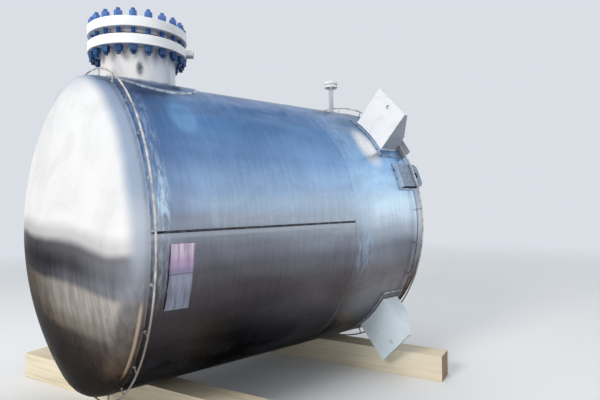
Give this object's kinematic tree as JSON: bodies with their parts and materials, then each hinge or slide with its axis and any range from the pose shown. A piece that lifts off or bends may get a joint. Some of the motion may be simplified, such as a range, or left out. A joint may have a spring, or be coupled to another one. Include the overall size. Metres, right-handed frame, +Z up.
{
  "type": "horizontal pressure tank",
  "caption": "Stainless pressure tank with dished heads, bolted top manway, small nozzles, support and lifting lugs, lying on two squared timbers.",
  "frame": {"origin": "on the floor under the middle of the vessel", "axes": "+X along the vessel away from the manway end, +Z up, -Y the side the picture shows"},
  "size_m": [3.0108, 2.5116, 2.789],
  "materials": {
    "shell": "brushed stainless plate",
    "head": "polished stainless plate",
    "bead": "dressed weld metal",
    "neck": "brushed stainless pipe",
    "rod": "round stainless rod",
    "white": "white paint, satin",
    "blue": "blue fastener coating, satin",
    "dark": "dark primer, matt",
    "gasket": "compressed sheet gasket",
    "timber": "weathered cream softwood"
  },
  "bodies": {
    "root": {"left_head": "head", "right_head": "head", "main_course": "shell", "end_course": "shell", "girth_beads": "bead", "long_bead": "bead", "left_ring": "rod", "left_ring_clips": "rod", "right_ring": "rod", "right_ring_clips": "rod", "ring_tab": "rod", "manway_pad": "shell", "manway_pad_bead": "bead", "manway_neck_bead": "bead", "manway_neck": "neck", "manway_gasket": "gasket", "manway_lining": "neck", "manway_lower_flange": "white", "manway_cover": "white", "manway_studs": "blue", "manway_top_nuts": "blue", "manway_bottom_nuts": "blue", "manway_side_boss": "white", "vent_pipe": "neck", "vent_collar": "neck", "vent_flange": "white", "vent_cover": "white", "vent_bolts_set": "blue", "lug_pads": "shell", "lug_plates": "white", "lug_gussets": "white", "lifting_pads": "shell", "lifting_plates": "shell", "drain_neck": "neck", "drain_flange": "dark", "drain_gasket_ring": "gasket", "drain_cover": "dark", "drain_bolts_set": "blue", "timber_left": "timber", "timber_right": "timber"}
  },
  "joints": []
}
